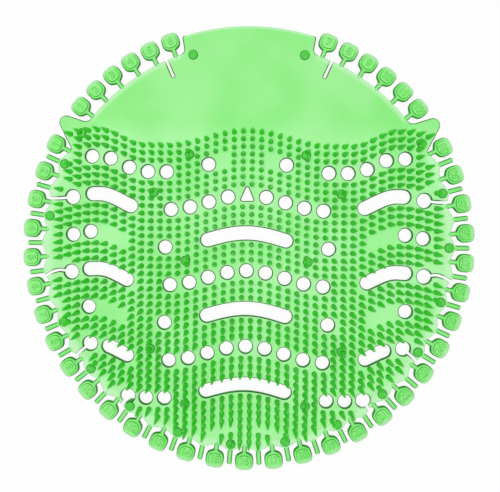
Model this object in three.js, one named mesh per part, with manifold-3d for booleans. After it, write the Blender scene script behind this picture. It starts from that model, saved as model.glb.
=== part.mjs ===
import * as THREE from 'three';
import { mergeVertices } from 'three/addons/utils/BufferGeometryUtils.js';
import Module from 'manifold-3d';

const wasm = await Module();
wasm.setup();

// A urinal deodorizer screen: one flexible moulding that lies flat on its feet.
// Lengths are in millimetres. The crown points to +Y and the bristles point up, to +Z.

// Thicknesses and heights
const footHeight = 3.5;
const sheetThickness = 2;
const bristleHeight = 9.5;
const tabThickness = 3;

// Round rim of the sheet, with a crown at the top. Angles are in degrees from the crown.
const rimRadius = 87.5;
const crownReach = 7.3;
const crownHalfAngle = 18;
const crownFillet = 2.6;
const crownFlare = 0.3;
const crownSteps = 5;

// Pull tabs: twelve for the months beside the crown, thirty-one for the days round the rest
const monthTabs = 12;
const crownToMonth = 3.3;
const monthPitch = 5.93;
const dayTabs = 31;
const neckLength = 2.7;
const neckWidth = 2.1;
const headLength = 7.8;
const headWidth = 8;
const headRootWidth = 3.3;
const headEndWidth = 4.6;
const headTaper = 2.2;
const headRounding = 1.9;

// Ears between the month tabs and the day tabs
const monthToEar = 2.2;
const earWidth = 8.9;
const earTipAngle = 3.5;
const earReach = 7.7;
const earRound = 3.1;
const earUpperNormal = 106;
const earLowerNormal = -32;
const earSteps = 5;
const earToDay = 0.9;

// Stubs between the day tabs, each on a pointed web of the rim
const webReach = 2.7;
const stubLength = 5.6;
const stubWidth = 2.2;

// Wave that every row of bristles, holes and slots follows
const waveDepth = 6.6;
const centreHalfWave = 34.4;
const troughWidth = 10.1;
const sideHalfWave = 20.2;
const topRowY = 37.8;
const rowPitch = 16.4;

// Drain holes and slots in the sheet
const holeDiameter = 6.15;
const holeSides = 8;
const slotWidth = 6.2;
const slotCapSteps = 5;
const slotStep = 4.3;
const arrowHeight = 6.3;
const arrowWidth = 6;
const arrowCorner = 0.8;
const arrowBelowRow = 2.5;
const slitWidth = 1.1;
const slitSteps = 3;
const crownSlitLength = 8.2;

// Bristles in straight columns, five to each pitch of the hole rows
const columnPitch = 3.97;
const bristlesPerRow = 5;
const bristlesAboveRow = 11.4;
const bristleWidth = 2.1;
const sideInset = 2.6;
const endInset = 1.4;
const edgeMargin = 2;
const holeMargin = 1.03;

// Round feet below the sheet
const footDiameter = 4.2;
const footTipDiameter = 3.8;
const footSides = 6;
const rimFootInset = 0.6;
const crownFootInset = 1.9;
const crownFootAngle = 16.4;

// The seven rows from the crown down: holes and slots on one side, mirrored to the other.
// Holes near the middle line, and slots across it, are given by their distance from it.
// Those near the sides are given by how far in they are from the side of the rim.
const rows = [
  { holes: [16.9], sideHoles: [19.6, 27.7, 35.9, 44.1, 52.3] },
  { holes: [8.3, 16.6, 24.8, 33.1], sideSlot: [20.1, 36.8] },
  { holes: [35.4], slot: 17, sideHoles: [11.7, 19.3] },
  { holes: [0, 8.3, 16.6, 24.8, 33.2], sideSlot: [19.1, 35.4] },
  { holes: [35.4], slot: 17, sideHoles: [18.9] },
  { holes: [0, 8.3, 16.6, 24.9, 33.3], sideSlot: [27.9, 35.8] },
  { holes: [], slot: 17, sideHoles: [44.4, 52.4] },
];

// Keyholes end some rows: a hole in from the rim with a slit that leaves the rim beside the neck
// of a day tab. The necks are counted from the ear; hole and exit are angles from the neck.
const keyholes = [
  { neck: 2, inset: 8.8, hole: -3.1, exit: -1.1, bend: -0.5 },
  { neck: 5, inset: 10, hole: -2.4, exit: -2.4, bend: 3.2 },
  { neck: 8, inset: 6.7, hole: -2.4, exit: -1.6, bend: 0.5 },
  { neck: 10, inset: 3.6, hole: 1.6, exit: 1.8, bend: 0 },
];

// Patches without bristles: columns and rows counted from the middle line and the top
const barePatches = [
  { columns: [2, 2], rows: [3, 4] },
  { columns: [13, 15], rows: [13, 14] },
  { columns: [13, 15], rows: [23, 24] },
  { columns: [1, 3], rows: [39, 39] },
  { columns: [3, 3], rows: [40, 40] },
];

// Feet inside the sheet stand in pairs between the rows, those at the rim under every second
// stub from the first, but for one place that a slit takes, and one is under each ear
const innerFeet = [
  { row: -0.4, x: 25.3 }, { row: 0.55, x: 40.7 }, { row: 2.4, x: 26.5 },
  { row: 4.7, x: 41.4 }, { row: 6.2, x: 26 },
];
const firstFootStub = 1;
const slitFootStub = 25;
const earFootAngles = [59.3, -56.7];

// Sizes that follow from those above
const sheetBottom = footHeight;
const sheetTop = sheetBottom + sheetThickness;
const sheetMiddle = sheetBottom + sheetThickness / 2;
const headInner = rimRadius + neckLength;
const headOuter = headInner + headLength;
const webRadius = rimRadius + webReach;
const stubEnd = webRadius + stubLength;
const crownRadius = rimRadius + crownReach;
const holeRadius = holeDiameter / 2;
const bristleTopY = topRowY + bristlesAboveRow;
const bristlePitch = rowPitch / bristlesPerRow;
const firstMonthAngle = crownHalfAngle + crownToMonth;
const lastMonthAngle = firstMonthAngle + monthPitch * (monthTabs / 2 - 1);
const earValleyAngle = lastMonthAngle + monthToEar;
const earEndAngle = earValleyAngle + earWidth;
const firstDayAngle = earEndAngle + earToDay;
const dayPitch = (360 - 2 * firstDayAngle) / (dayTabs - 1);
const crownSlitAngle = firstMonthAngle + monthPitch / 2;
const cutMargin = 1;
const mergeDistance = 1e-4;
const viewTurn = 0.7;

// Plan helpers: the angle is measured from the crown, clockwise seen from above
function polar(radius, angle) {
  const a = THREE.MathUtils.degToRad(angle);
  return new THREE.Vector2(radius * Math.sin(a), radius * Math.cos(a));
}

function beside(radius, angle, offset) {
  const a = THREE.MathUtils.degToRad(angle);
  const across = new THREE.Vector2(Math.cos(a), -Math.sin(a));
  return polar(radius, angle).addScaledVector(across, offset);
}

function mirrored(point) {
  return new THREE.Vector2(-point.x, point.y);
}

function arcPoints(centre, radius, from, to, steps) {
  const points = [];
  for (let i = 0; i <= steps; i++) {
    const a = THREE.MathUtils.degToRad(from + ((to - from) * i) / steps);
    points.push(new THREE.Vector2(centre.x + radius * Math.cos(a), centre.y + radius * Math.sin(a)));
  }
  return points;
}

// How far the wave drops below its crest at a distance from the middle line
function waveDrop(x) {
  const t = Math.abs(x);
  const troughEnd = centreHalfWave + troughWidth;
  const sideCrest = troughEnd + sideHalfWave;
  let phase = (t - sideCrest) / centreHalfWave;
  if (t < centreHalfWave) {
    phase = t / centreHalfWave;
  } else if (t < troughEnd) {
    phase = 1;
  } else if (t < sideCrest) {
    phase = (sideCrest - t) / sideHalfWave;
  }
  return (waveDepth / 2) * (1 - Math.cos(Math.PI * phase));
}

function onRow(row, x) {
  return new THREE.Vector2(x, topRowY - rowPitch * row - waveDrop(x));
}

// Outline of the sheet with its necks and stubs
function neckPoints(angle) {
  const half = neckWidth / 2;
  const end = headInner + headTaper / 2;
  return [
    beside(rimRadius, angle, -half), beside(end, angle, -half),
    beside(end, angle, half), beside(rimRadius, angle, half),
  ];
}

function stubPoints(angle) {
  const half = stubWidth / 2;
  return [
    beside(webRadius, angle, -half), beside(stubEnd, angle, -half),
    beside(stubEnd, angle, half), beside(webRadius, angle, half),
  ];
}

function crownPoints() {
  const points = [];
  for (let i = 0; i <= crownSteps; i++) {
    points.push(polar(crownRadius, (crownHalfAngle * i) / crownSteps));
  }
  const flankAngle = crownHalfAngle + crownFlare;
  const centre = beside(rimRadius + crownFillet, flankAngle, crownFillet);
  const turn = 180 - flankAngle;
  points.push(...arcPoints(centre, crownFillet, turn, turn + 90, 2));
  return points;
}

function earPoints() {
  const centre = polar(rimRadius + earReach, earValleyAngle + earTipAngle);
  const valley = polar(rimRadius + monthToEar / 2, earValleyAngle);
  return [
    polar(rimRadius, earValleyAngle - monthToEar / 2), valley,
    ...arcPoints(centre, earRound, earUpperNormal, earLowerNormal, earSteps),
    polar(rimRadius, earEndAngle),
  ];
}

const monthAngles = [];
for (let i = 0; i < monthTabs / 2; i++) {
  monthAngles.push(firstMonthAngle + monthPitch * i);
}
const dayAngles = [];
for (let i = 0; i <= (dayTabs - 1) / 2; i++) {
  dayAngles.push(firstDayAngle + dayPitch * i);
}
const pairedAngles = [...monthAngles, ...dayAngles.slice(0, -1)];
const tabAngles = [...pairedAngles, ...pairedAngles.map((angle) => -angle), 180];

function outline() {
  const half = [...crownPoints()];
  for (const angle of monthAngles) {
    half.push(...neckPoints(angle));
  }
  half.push(...earPoints());
  for (const angle of dayAngles.slice(0, -1)) {
    half.push(...neckPoints(angle), ...stubPoints(angle + dayPitch / 2));
  }
  half.push(...neckPoints(180).slice(0, 2));
  const other = half.slice(1).reverse().map(mirrored);
  return [...half, ...other];
}

// Openings through the sheet
function keyholeCentre(keyhole) {
  return polar(rimRadius - keyhole.inset, dayAngles[keyhole.neck] + keyhole.hole);
}

function holeCentres() {
  const centres = keyholes.map(keyholeCentre);
  rows.forEach((row, index) => {
    const sideHoles = row.sideHoles ?? [];
    centres.push(...row.holes.map((x) => onRow(index, x)));
    centres.push(...sideHoles.map((inset) => onRow(index, rimRadius - inset)));
  });
  const paired = centres.filter((centre) => centre.x > 0);
  return [...centres, ...paired.map(mirrored)];
}

// Middle line of a slot along the wave of its row, from one round end's centre to the other
function slotLine(row, from, to) {
  const steps = Math.ceil((to - from) / slotStep);
  const points = [];
  for (let i = 0; i <= steps; i++) {
    points.push(onRow(row, from + ((to - from) * i) / steps));
  }
  return points;
}

function slotLines() {
  const lines = [];
  rows.forEach((row, index) => {
    if (row.slot) {
      lines.push(slotLine(index, -row.slot, row.slot));
    }
    if (row.sideSlot) {
      const [outer, inner] = row.sideSlot.map((inset) => rimRadius - inset);
      lines.push(slotLine(index, inner, outer), slotLine(index, -outer, -inner));
    }
  });
  return lines;
}

// Middle line of a slit, from inside its hole to past the rim
function slitLine(keyhole) {
  const start = keyholeCentre(keyhole);
  const exit = polar(webRadius, dayAngles[keyhole.neck] + keyhole.exit);
  const middle = start.clone().lerp(exit, 0.5);
  middle.y += keyhole.bend;
  return new THREE.QuadraticBezierCurve(start, middle, exit).getPoints(slitSteps);
}

function slitLines() {
  const inner = polar(rimRadius - crownSlitLength, crownSlitAngle);
  const outer = polar(webRadius, crownSlitAngle);
  const lines = [...keyholes.map(slitLine), [inner, outer]];
  return [...lines, ...lines.map((line) => line.map(mirrored))];
}

// A band of even width along a middle line, with square ends or, in more steps, round ones
function bandShape(line, width, capSteps) {
  const left = [];
  const right = [];
  const turns = [];
  line.forEach((point, i) => {
    const before = line[Math.max(i - 1, 0)];
    const after = line[Math.min(i + 1, line.length - 1)];
    const along = after.clone().sub(before).normalize();
    const across = new THREE.Vector2(-along.y, along.x).multiplyScalar(width / 2);
    left.push(point.clone().add(across));
    right.push(point.clone().sub(across));
    turns.push(THREE.MathUtils.radToDeg(along.angle()));
  });
  const cap = (centre, start) => arcPoints(centre, width / 2, start, start - 180, capSteps).slice(1, -1);
  const endCap = cap(line[line.length - 1], turns[turns.length - 1] + 90);
  const startCap = cap(line[0], turns[0] - 90);
  return new THREE.Shape([...left, ...endCap, ...right.reverse(), ...startCap]);
}

function arrowShape() {
  const base = onRow(1, 0).y - arrowBelowRow;
  const top = base + arrowHeight;
  const half = arrowWidth / 2;
  const corner = arrowCorner / 2;
  const right = [[half - corner, base], [half, base + arrowCorner], [corner, top]];
  const points = right.map(([x, y]) => new THREE.Vector2(x, y));
  return new THREE.Shape([...points, ...points.map(mirrored).reverse()]);
}

// Where bristles stand: distances from a point to what they keep clear of
function distanceToSegment(point, a, b) {
  const ab = b.clone().sub(a);
  const t = THREE.MathUtils.clamp(point.clone().sub(a).dot(ab) / ab.lengthSq(), 0, 1);
  return point.distanceTo(a.clone().addScaledVector(ab, t));
}

function distanceToLine(point, line, closed) {
  let nearest = Infinity;
  for (let i = closed ? 0 : 1; i < line.length; i++) {
    const before = line[(i + line.length - 1) % line.length];
    nearest = Math.min(nearest, distanceToSegment(point, before, line[i]));
  }
  return nearest;
}

function isInside(point, loop) {
  let inside = false;
  for (let i = 0; i < loop.length; i++) {
    const a = loop[i];
    const b = loop[(i + loop.length - 1) % loop.length];
    if (a.y > point.y !== b.y > point.y) {
      const crossing = a.x + ((b.x - a.x) * (point.y - a.y)) / (b.y - a.y);
      if (point.x < crossing) {
        inside = !inside;
      }
    }
  }
  return inside;
}

const sheetOutline = outline();
const holes = holeCentres();
const slots = slotLines();
const slits = slitLines();
const arrow = arrowShape();

function hasBristle(point, column, row) {
  for (const patch of barePatches) {
    const inColumns = column >= patch.columns[0] && column <= patch.columns[1];
    if (inColumns && row >= patch.rows[0] && row <= patch.rows[1]) {
      return false;
    }
  }
  const across = point.x / (rimRadius - sideInset);
  const along = point.y / (rimRadius - endInset);
  const isOnEar = point.y > polar(rimRadius, earEndAngle).y;
  if (!isOnEar && across * across + along * along > 1) {
    return false;
  }
  if (!isInside(point, sheetOutline) || distanceToLine(point, sheetOutline, true) < edgeMargin) {
    return false;
  }
  if (holes.some((hole) => hole.distanceTo(point) < holeRadius + holeMargin)) {
    return false;
  }
  if (slots.some((line) => distanceToLine(point, line, false) < slotWidth / 2 + holeMargin)) {
    return false;
  }
  if (slits.some((line) => distanceToLine(point, line, false) < slitWidth / 2 + bristleWidth / 2)) {
    return false;
  }
  const corners = arrow.getPoints();
  return !isInside(point, corners) && distanceToLine(point, corners, true) > holeMargin;
}

// Unbroken runs of bristles down each column
function bristleRuns() {
  const runs = [];
  const lastColumn = Math.ceil(headOuter / columnPitch);
  const lastRow = Math.ceil((2 * headOuter) / bristlePitch);
  for (let column = 0; column < lastColumn; column++) {
    const x = (column + 0.5) * columnPitch;
    for (const side of [1, -1]) {
      let run = [];
      for (let row = 0; row < lastRow; row++) {
        const point = new THREE.Vector2(x * side, bristleTopY - waveDrop(x) - bristlePitch * row);
        if (hasBristle(point, column, row)) {
          run.push(point);
        } else if (run.length > 0) {
          runs.push(run);
          run = [];
        }
      }
    }
  }
  return runs;
}

// Feet of the bristles in a run: corners that lie left and right of the column by turns
function runCorners(run) {
  const half = bristleWidth / 2;
  const first = run[0];
  const last = run[run.length - 1];
  const ys = [first.y + half, ...run.map((p) => p.y), last.y - half];
  return ys.map((y, i) => new THREE.Vector2(first.x + (i % 2 === 0 ? -half : half), y));
}

function runLoop(corners) {
  const left = corners.filter((corner, i) => i % 2 === 0);
  const right = corners.filter((corner, i) => i % 2 === 1);
  return [...left, ...right.reverse()];
}

// Sheet and bristles as one closed skin
function at(point, z) {
  return new THREE.Vector3(point.x, point.y, z);
}

function pushTriangle(list, a, b, c) {
  list.push(a.x, a.y, a.z, b.x, b.y, b.z, c.x, c.y, c.z);
}

// The face is divided in a turned view, where no two loops are in line with each other
function pushFace(list, contour, loops, z, up) {
  const corners = [...contour, ...loops.flat()];
  const turned = (loop) => loop.map((p) => p.clone().rotateAround(new THREE.Vector2(), viewTurn));
  const triangles = THREE.ShapeUtils.triangulateShape(turned(contour), loops.map(turned));
  for (const [a, b, c] of triangles) {
    const order = up ? [a, b, c] : [a, c, b];
    pushTriangle(list, ...order.map((i) => at(corners[i], z)));
  }
}

function pushWall(list, contour, bottom, top) {
  contour.forEach((a, i) => {
    const b = contour[(i + 1) % contour.length];
    pushTriangle(list, at(a, bottom), at(b, bottom), at(b, top));
    pushTriangle(list, at(a, bottom), at(b, top), at(a, top));
  });
}

function pushBristles(list, run, corners) {
  run.forEach((point, i) => {
    const tip = at(point, sheetTop + bristleHeight);
    const feet = corners.slice(i, i + 3);
    if (THREE.ShapeUtils.isClockWise(feet)) {
      feet.reverse();
    }
    feet.forEach((foot, j) => {
      pushTriangle(list, at(foot, sheetTop), at(feet[(j + 1) % 3], sheetTop), tip);
    });
  });
}

function sheetGeometry() {
  const contour = [...sheetOutline];
  if (THREE.ShapeUtils.isClockWise(contour)) {
    contour.reverse();
  }
  const runs = bristleRuns();
  const corners = runs.map(runCorners);
  const positions = [];
  pushFace(positions, contour, corners.map(runLoop), sheetTop, true);
  pushFace(positions, contour, [], sheetBottom, false);
  pushWall(positions, contour, sheetBottom, sheetTop);
  runs.forEach((run, i) => pushBristles(positions, run, corners[i]));
  const geometry = new THREE.BufferGeometry();
  geometry.setAttribute('position', new THREE.Float32BufferAttribute(positions, 3));
  return geometry;
}

// Tab heads, feet and cutters as closed solids of their own
function headGeometry(angle) {
  const profile = [
    [headInner, headRootWidth], [headInner + headTaper, headWidth],
    [headOuter - headRounding, headWidth], [headOuter, headEndWidth],
  ];
  const right = profile.map(([radius, width]) => beside(radius, angle, width / 2));
  const left = profile.map(([radius, width]) => beside(radius, angle, -width / 2));
  const shape = new THREE.Shape([...right, ...left.reverse()]);
  const geometry = new THREE.ExtrudeGeometry(shape, { depth: tabThickness, bevelEnabled: false });
  return geometry.translate(0, 0, sheetMiddle - tabThickness / 2);
}

function footGeometry(place) {
  const height = sheetMiddle;
  const geometry = new THREE.CylinderGeometry(footDiameter / 2, footTipDiameter / 2, height, footSides);
  return geometry.rotateX(Math.PI / 2).translate(place.x, place.y, height / 2);
}

function footPlaces() {
  const paired = innerFeet.map((foot) => onRow(foot.row, foot.x));
  paired.push(polar(rimRadius - crownFootInset, crownFootAngle));
  const rimAngles = [...earFootAngles];
  for (let stub = firstFootStub; stub < dayTabs - 1; stub += 2) {
    if (stub !== slitFootStub) {
      rimAngles.push(firstDayAngle + dayPitch * (stub + 0.5));
    }
  }
  const single = rimAngles.map((angle) => polar(rimRadius - rimFootInset, angle));
  return [...paired, ...paired.map(mirrored), ...single];
}

function cutterGeometry(shape) {
  const depth = sheetThickness + 2 * cutMargin;
  const geometry = new THREE.ExtrudeGeometry(shape, { depth, bevelEnabled: false, curveSegments: 1 });
  return geometry.translate(0, 0, sheetBottom - cutMargin);
}

function holeShape(centre) {
  const step = 360 / holeSides;
  return new THREE.Shape(arcPoints(centre, holeRadius, step / 2, 360 - step / 2, holeSides - 1));
}

// A closed mesh with its corners merged, as a solid for joining and cutting
function solidFrom(geometry) {
  const bare = geometry.clone();
  bare.deleteAttribute('normal');
  bare.deleteAttribute('uv');
  const merged = mergeVertices(bare, mergeDistance);
  return new wasm.Manifold(new wasm.Mesh({
    numProp: 3,
    vertProperties: new Float32Array(merged.attributes.position.array),
    triVerts: new Uint32Array(merged.index.array),
  }));
}

function geometryFrom(solid) {
  const mesh = solid.getMesh();
  const geometry = new THREE.BufferGeometry();
  geometry.setAttribute('position', new THREE.BufferAttribute(mesh.vertProperties, 3));
  geometry.setIndex(new THREE.BufferAttribute(mesh.triVerts, 1));
  return geometry;
}

function screenGeometry() {
  let solid = solidFrom(sheetGeometry());
  const shapes = [...holes.map(holeShape), arrow];
  shapes.push(...slots.map((line) => bandShape(line, slotWidth, slotCapSteps)));
  shapes.push(...slits.map((line) => bandShape(line, slitWidth, 1)));
  for (const shape of shapes) {
    solid = solid.subtract(solidFrom(cutterGeometry(shape)));
  }
  for (const angle of tabAngles) {
    solid = solid.add(solidFrom(headGeometry(angle)));
  }
  for (const place of footPlaces()) {
    solid = solid.add(solidFrom(footGeometry(place)));
  }
  return geometryFrom(solid);
}

const screen = new THREE.Group();
const material = new THREE.MeshStandardMaterial({ color: 0x63d65a, roughness: 0.45, metalness: 0 });
const moulding = new THREE.Mesh(screenGeometry(), material);
moulding.name = 'screen_mat';
moulding.position.y = (headOuter - crownRadius) / 2;
screen.add(moulding);

export default screen;
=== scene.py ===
# %% [markdown]
# # A urinal screen with numbered pull tabs
# The real object is one soft moulding: a round green sheet on low feet, about 195 mm across, with
# a thousand tapering bristles on top, drain holes and slots, and a ring of small tabs. A person
# pulls off one tab for the month and one for the day, to mark when the screen has to be changed.
# This scene makes it in the way of a mould maker: flat outline first, then what stands on it.

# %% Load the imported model
import math

import bmesh
import bpy
from mathutils import Matrix, Vector


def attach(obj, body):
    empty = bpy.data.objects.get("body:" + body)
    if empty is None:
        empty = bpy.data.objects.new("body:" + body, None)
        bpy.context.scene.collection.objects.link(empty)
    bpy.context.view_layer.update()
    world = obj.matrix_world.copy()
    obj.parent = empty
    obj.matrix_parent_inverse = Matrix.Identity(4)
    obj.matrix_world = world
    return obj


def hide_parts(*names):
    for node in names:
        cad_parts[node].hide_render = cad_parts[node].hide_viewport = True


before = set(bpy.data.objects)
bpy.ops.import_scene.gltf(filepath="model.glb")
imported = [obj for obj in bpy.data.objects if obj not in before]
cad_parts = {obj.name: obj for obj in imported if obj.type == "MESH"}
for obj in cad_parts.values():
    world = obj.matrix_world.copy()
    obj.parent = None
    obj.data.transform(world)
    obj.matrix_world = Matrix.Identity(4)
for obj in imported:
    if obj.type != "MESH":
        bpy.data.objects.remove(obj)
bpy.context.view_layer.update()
MM = 0.001
NODE = "screen_mat"
print("nodes", sorted(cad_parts))

# %% [markdown]
# ## Heights
# Everything is measured from the floor that the feet stand on. The sheet is 2 mm thick, because it
# has to bend into the bowl, and the bristles stand 9.5 mm above it to break up the splash.

# %% Heights in millimetres
FOOT_HEIGHT = 3.5
SHEET_THICKNESS = 2.0
BRISTLE_HEIGHT = 9.5
SHEET_TOP = FOOT_HEIGHT + SHEET_THICKNESS
SHEET_MIDDLE = FOOT_HEIGHT + SHEET_THICKNESS / 2
TAB_THICKNESS = 3.0
print("sheet from", FOOT_HEIGHT, "to", SHEET_TOP, "mm, bristle tips at", SHEET_TOP + BRISTLE_HEIGHT)

# %% [markdown]
# ## Camera
# The picture was taken from almost straight above and from close by, so the bristles near the rim
# lean outwards in it. A camera that stands 240 mm above the sheet gives the same lean. Its small
# shift moves the frame and not the eye, which a turn of the camera would do.

# %% Camera over the sheet
LENS = 40.035
SENSOR = 36.0

camera_data = bpy.data.cameras.new("overhead")
camera_data.lens = LENS
camera_data.sensor_width = SENSOR
camera_data.shift_x = 0.0367
camera_data.shift_y = -0.0627
camera = bpy.data.objects.new("overhead", camera_data)
camera.location = (-0.00045, 0.01438, 0.2465)
camera.rotation_euler = tuple(math.radians(a) for a in (0.034, 1.478, 0.677))
bpy.context.scene.collection.objects.link(camera)
bpy.context.scene.camera = camera
print("camera", [round(v, 4) for v in camera.location])

# %% [markdown]
# ## Light, floor and background
# The picture has hardly any shadow between the bristles, so the light came from straight above. A
# soft lamp high over the sheet does that, and a dim world fills in the walls. The background is
# white for the camera alone, so it adds no light to the object, and the floor keeps a part of the
# object's own shadow.

# %% World and lamp
scene = bpy.context.scene
scene.view_settings.view_transform = "Standard"

WORLD_LIGHT = 0.38
world = bpy.data.worlds.new("studio")
scene.world = world
world.use_nodes = True
sky = world.node_tree
sky.nodes.clear()


def seen_directly(tree):
    """1 for rays from the camera and for what gloss and clear plastic show, else 0."""
    path = tree.nodes.new("ShaderNodeLightPath")
    total = path.outputs["Is Camera Ray"]
    for ray in ("Is Glossy Ray", "Is Transmission Ray"):
        add = tree.nodes.new("ShaderNodeMath")
        add.operation = "MAXIMUM"
        tree.links.new(total, add.inputs[0])
        tree.links.new(path.outputs[ray], add.inputs[1])
        total = add.outputs[0]
    return total


def world_background(strength):
    node = sky.nodes.new("ShaderNodeBackground")
    node.inputs["Color"].default_value = (1, 1, 1, 1)
    node.inputs["Strength"].default_value = strength
    return node


sky_mix = sky.nodes.new("ShaderNodeMixShader")
sky_out = sky.nodes.new("ShaderNodeOutputWorld")
sky.links.new(seen_directly(sky), sky_mix.inputs["Fac"])
sky.links.new(world_background(WORLD_LIGHT).outputs[0], sky_mix.inputs[1])
sky.links.new(world_background(1.0).outputs[0], sky_mix.inputs[2])
sky.links.new(sky_mix.outputs[0], sky_out.inputs["Surface"])

LAMP_SIZE = 0.5
LAMP_PLACE = (-0.06, 0.08, 1.2)
LAMP_POWER = 8.6
lamp_data = bpy.data.lights.new("softbox", "AREA")
lamp_data.shape = "DISK"
lamp_data.size = LAMP_SIZE
lamp_data.energy = LAMP_POWER
lamp = bpy.data.objects.new("softbox", lamp_data)
lamp.location = LAMP_PLACE
lamp.rotation_euler = (-Vector(LAMP_PLACE)).to_track_quat("-Z", "Y").to_euler()
scene.collection.objects.link(lamp)
print("lamp", LAMP_SIZE, "m wide,", LAMP_POWER, "W")

# %% White floor
FLOOR_HALF = 3.0
SHADOW_SHARE = 0.07
FLOOR_GREY = (0.86, 0.86, 0.86, 1)

floor_mesh = bpy.data.meshes.new("floor")
signs = ((-1, -1), (1, -1), (1, 1), (-1, 1))
floor_corners = [(x * FLOOR_HALF, y * FLOOR_HALF, 0) for x, y in signs]
floor_mesh.from_pydata(floor_corners, [], [(0, 1, 2, 3)])
floor = bpy.data.objects.new("floor", floor_mesh)
scene.collection.objects.link(floor)

floor_material = bpy.data.materials.new("floor_white")
floor_material.use_nodes = True
tree = floor_material.node_tree
tree.nodes.clear()
matt = tree.nodes.new("ShaderNodeBsdfDiffuse")
matt.inputs["Color"].default_value = FLOOR_GREY
glow = tree.nodes.new("ShaderNodeEmission")
glow.inputs["Color"].default_value = (1, 1, 1, 1)
share = tree.nodes.new("ShaderNodeMath")
share.operation = "MULTIPLY"
share.inputs[1].default_value = 1 - SHADOW_SHARE
mix = tree.nodes.new("ShaderNodeMixShader")
output = tree.nodes.new("ShaderNodeOutputMaterial")
tree.links.new(seen_directly(tree), share.inputs[0])
tree.links.new(share.outputs[0], mix.inputs["Fac"])
tree.links.new(matt.outputs[0], mix.inputs[1])
tree.links.new(glow.outputs[0], mix.inputs[2])
tree.links.new(mix.outputs[0], output.inputs["Surface"])
floor_mesh.materials.append(floor_material)
print("floor", 2 * FLOOR_HALF, "m square")

# %% [markdown]
# ## Green soft plastic
# The plastic lets light through, so it looks pale where it is thin and flat, and deep green where
# the eye looks along a wall or down a bristle. The material paints that as shade: it mixes two
# greens by how steep the surface is, and the deeper green on steep faces is painted shade. A wide,
# weak noise gives the cloudy look of a moulding, and a fine one its satin grain.


# %% Material for the plastic
def linear(red, green, blue):
    """A colour given as 0 to 255 on screen, as the shader wants it."""
    values = [c / 255 for c in (red, green, blue)]
    return [v / 12.92 if v <= 0.04045 else ((v + 0.055) / 1.055) ** 2.4 for v in values] + [1.0]


def math_node(tree, operation, first, second):
    """A Math node, each of whose inputs is a number or another node's output."""
    node = tree.nodes.new("ShaderNodeMath")
    node.operation = operation
    for socket, value in zip(node.inputs, (first, second)):
        if isinstance(value, (int, float)):
            socket.default_value = value
        else:
            tree.links.new(value, socket)
    return node.outputs[0]


def map_range(tree, value, low, high, to_low=0.0, to_high=1.0):
    node = tree.nodes.new("ShaderNodeMapRange")
    node.interpolation_type = "SMOOTHSTEP"
    node.inputs["From Min"].default_value = low
    node.inputs["From Max"].default_value = high
    node.inputs["To Min"].default_value = to_low
    node.inputs["To Max"].default_value = to_high
    tree.links.new(value, node.inputs["Value"])
    return node.outputs["Result"]


def mix_colours(tree, share, first, second, blend="MIX"):
    node = tree.nodes.new("ShaderNodeMix")
    node.data_type = "RGBA"
    node.blend_type = blend
    tree.links.new(share, node.inputs["Factor"])
    for socket, value in ((node.inputs[6], first), (node.inputs[7], second)):
        if isinstance(value, list):
            socket.default_value = value
        else:
            tree.links.new(value, socket)
    return node.outputs[2]


def noise(tree, place, size, detail):
    node = tree.nodes.new("ShaderNodeTexNoise")
    node.inputs["Scale"].default_value = 1 / (size * MM)
    node.inputs["Detail"].default_value = detail
    tree.links.new(place, node.inputs["Vector"])
    return node.outputs["Fac"]


def slope(tree):
    """0 on a level face and 1 on an upright wall."""
    parts = tree.nodes.new("ShaderNodeSeparateXYZ")
    tree.links.new(tree.nodes.new("ShaderNodeNewGeometry").outputs["Normal"], parts.inputs[0])
    return math_node(tree, "SUBTRACT", 1.0, math_node(tree, "ABSOLUTE", parts.outputs["Z"], 0.0))


# Sizes in millimetres of the cloudy patches, the satin patches and the grain, and its height
CLOUD_SIZE = 24.0
SATIN_SIZE = 6.0
GRAIN_SIZE = 0.7
GRAIN_HEIGHT = 0.05


def soft_plastic(name, flat, steep, cloudy, steep_from, steep_to, gloss=0.25,
                 scatter=0.12, depth=1.2):
    """A satin plastic: one green for level faces, a deeper one painted as shade on steep ones,
    cloudy patches.
    """
    material = bpy.data.materials.new(name)
    material.use_nodes = True
    tree = material.node_tree
    shader = tree.nodes["Principled BSDF"]
    place = tree.nodes.new("ShaderNodeTexCoord").outputs["Object"]
    patches = map_range(tree, noise(tree, place, CLOUD_SIZE, 3), 0.3, 0.7)
    # The steep green is painted shade, mixed in by how steep the surface is
    painted_shade_share = map_range(tree, slope(tree), steep_from, steep_to)
    face = mix_colours(tree, patches, flat, cloudy)
    tree.links.new(mix_colours(tree, painted_shade_share, face, steep), shader.inputs["Base Color"])
    bump = tree.nodes.new("ShaderNodeBump")
    bump.inputs["Strength"].default_value = 0.25
    bump.inputs["Distance"].default_value = GRAIN_HEIGHT * MM
    tree.links.new(noise(tree, place, GRAIN_SIZE, 2), bump.inputs["Height"])
    tree.links.new(bump.outputs[0], shader.inputs["Normal"])
    roughness = map_range(tree, noise(tree, place, SATIN_SIZE, 2), 0.3, 0.7, 0.48, 0.62)
    tree.links.new(roughness, shader.inputs["Roughness"])
    shader.inputs["IOR"].default_value = 1.45
    shader.inputs["Specular IOR Level"].default_value = gloss
    shader.inputs["Subsurface Weight"].default_value = scatter
    shader.inputs["Subsurface Radius"].default_value = (0.3, 1.0, 0.3)
    shader.inputs["Subsurface Scale"].default_value = depth * MM
    return material


def paint_over(material, share, colour, blend="MIX"):
    """Mixes a colour over the material's own, by a share that its nodes work out."""
    tree = material.node_tree
    socket = tree.nodes["Principled BSDF"].inputs["Base Color"]
    mixed = mix_colours(tree, share, socket.links[0].from_socket, colour, blend)
    tree.links.new(mixed, socket)


# The deep steep green paints shade on the rolled edges of the openings
sheet_plastic = soft_plastic(
    "sheet_plastic", linear(162, 242, 153), linear(40, 116, 46), linear(186, 248, 179), 0.004, 0.09)
print("made", sheet_plastic.name)
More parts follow.
